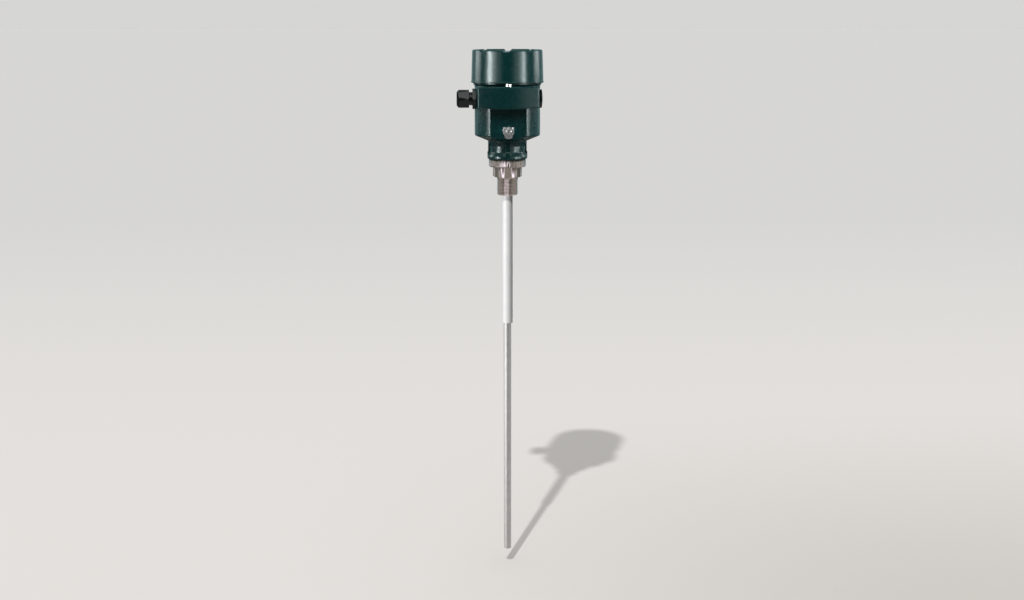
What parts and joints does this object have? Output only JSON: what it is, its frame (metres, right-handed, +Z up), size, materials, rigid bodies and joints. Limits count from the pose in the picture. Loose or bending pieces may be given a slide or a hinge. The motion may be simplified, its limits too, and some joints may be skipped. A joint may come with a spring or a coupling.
{
  "type": "capacitive level probe",
  "caption": "Rod probe that senses filling level: insulated rod, screwed steel process fitting, turning cast housing with cable entry and screw lid over its terminals.",
  "frame": {"origin": "on the probe's axis, in the sealing face under the process fitting's hexagon, at the top end of the process thread", "axes": "+Z up along the probe's axis to the lid, the rod hanging along -Z; -Y is the front with the bare name band and the outer earth terminal; the cable gland points along -X"},
  "size_m": [0.1102, 0.0945, 0.6602],
  "materials": {
    "green_coat": "satin coat on cast aluminium",
    "stainless": "turned",
    "rod_steel": "ground",
    "white_plastic": "smooth",
    "black_plastic": "moulded",
    "seal_rubber": "moulded",
    "module_plastic": "moulded",
    "board": "board",
    "component_plastic": "moulded",
    "contact_brass": "turned",
    "terminal_plastic": "moulded",
    "lamp_plastic": "clear"
  },
  "bodies": {
    "sensor": {"process_fitting": "stainless", "rod": "rod_steel", "insulation_sleeve": "white_plastic", "seal_bush": "white_plastic", "upper_insulator": "white_plastic", "thrust_washer": "stainless", "disc_springs": "stainless", "packing_nut": "stainless", "neck_seals": "seal_rubber", "retaining_ring": "stainless", "stop_pin": "stainless"},
    "housing": {"housing_body": "green_coat", "clamp_screw": "stainless", "gland_gasket": "seal_rubber", "gland_body": "black_plastic", "gland_seal": "seal_rubber", "module_body": "module_plastic", "circuit_board": "board", "board_components": "component_plastic", "contact_socket": "contact_brass", "terminal_block": "terminal_plastic", "terminal_screws": "stainless", "module_cover": "module_plastic", "module_screws": "stainless", "inner_earth_screw": "contact_brass", "status_lamp": "lamp_plastic", "adjuster_base": "component_plastic", "switch_base": "component_plastic"},
    "lid_seal": {"lid_seal": "seal_rubber"},
    "lid": {"lid": "green_coat"},
    "gland_ring": {"gland_ring": "black_plastic"},
    "gland_nut": {"gland_nut": "black_plastic"},
    "plug_gasket": {"plug_gasket": "seal_rubber"},
    "blind_plug": {"blind_plug": "black_plastic"},
    "lock_washer": {"lock_washer": "stainless"},
    "lock_screw": {"lock_screw": "stainless"},
    "earth_clamp": {"earth_clamp": "stainless", "earth_washer": "stainless"},
    "earth_screw": {"earth_screw": "stainless"},
    "adjuster": {"adjuster": "terminal_plastic"},
    "mode_switch": {"mode_switch": "terminal_plastic"}
  },
  "joints": [
    {"name": "housing_turn", "type": "hinge", "parent": "sensor", "child": "housing", "pos_m": [0, 0, 0.0345], "axis": [0, 0, 1], "range_deg": [-165, 165]},
    {"name": "lid_rise", "type": "slide", "parent": "housing", "child": "lid_seal", "axis": [0, 0, 1], "range_m": [0, 0.01201]},
    {"name": "lid_turn", "type": "hinge", "parent": "lid_seal", "child": "lid", "pos_m": [0, 0, 0.14], "axis": [0, 0, 1], "range_deg": [0, 2160]},
    {"name": "gland_nut_travel", "type": "slide", "parent": "housing", "child": "gland_ring", "axis": [-1, 0, 0], "range_m": [0, 0.00451]},
    {"name": "gland_nut_turn", "type": "hinge", "parent": "gland_ring", "child": "gland_nut", "pos_m": [-0.056, 0, 0.0989], "axis": [-1, 0, 0], "range_deg": [0, 1080]},
    {"name": "plug_travel", "type": "slide", "parent": "housing", "child": "plug_gasket", "axis": [1, 0, 0], "range_m": [0, 0.00901]},
    {"name": "plug_turn", "type": "hinge", "parent": "plug_gasket", "child": "blind_plug", "pos_m": [0.0395, 0, 0.0989], "axis": [1, 0, 0], "range_deg": [0, 2160]},
    {"name": "lock_screw_travel", "type": "slide", "parent": "housing", "child": "lock_washer", "axis": [0, 0, -1], "range_m": [0, 0.003]},
    {"name": "lock_screw_turn", "type": "hinge", "parent": "lock_washer", "child": "lock_screw", "pos_m": [0, -0.0425, 0.115], "axis": [0, 0, -1], "range_deg": [0, 1351]},
    {"name": "earth_clamp_travel", "type": "slide", "parent": "housing", "child": "earth_clamp", "axis": [0, -1, 0], "range_m": [0, 0.0032]},
    {"name": "earth_screw_turn", "type": "hinge", "parent": "earth_clamp", "child": "earth_screw", "pos_m": [0, -0.0375, 0.0607], "axis": [0, -1, 0], "range_deg": [0, 1441]},
    {"name": "adjuster_turn", "type": "hinge", "parent": "housing", "child": "adjuster", "pos_m": [-0.012, 0.0115, 0.08], "axis": [0, 0, 1], "range_deg": [-135, 135]},
    {"name": "mode_switch_slide", "type": "slide", "parent": "housing", "child": "mode_switch", "axis": [1, 0, 0], "range_m": [0, 0.004]}
  ],
  "couplings": [
    {"joint": "lid_rise", "follows": "lid_turn", "m_per_rad": 0.00031831},
    {"joint": "gland_nut_travel", "follows": "gland_nut_turn", "m_per_rad": 0.00023873},
    {"joint": "plug_travel", "follows": "plug_turn", "m_per_rad": 0.00023873},
    {"joint": "lock_screw_turn", "follows": "lock_screw_travel", "rad_per_m": 7854},
    {"joint": "earth_screw_turn", "follows": "earth_clamp_travel", "rad_per_m": 7854}
  ]
}
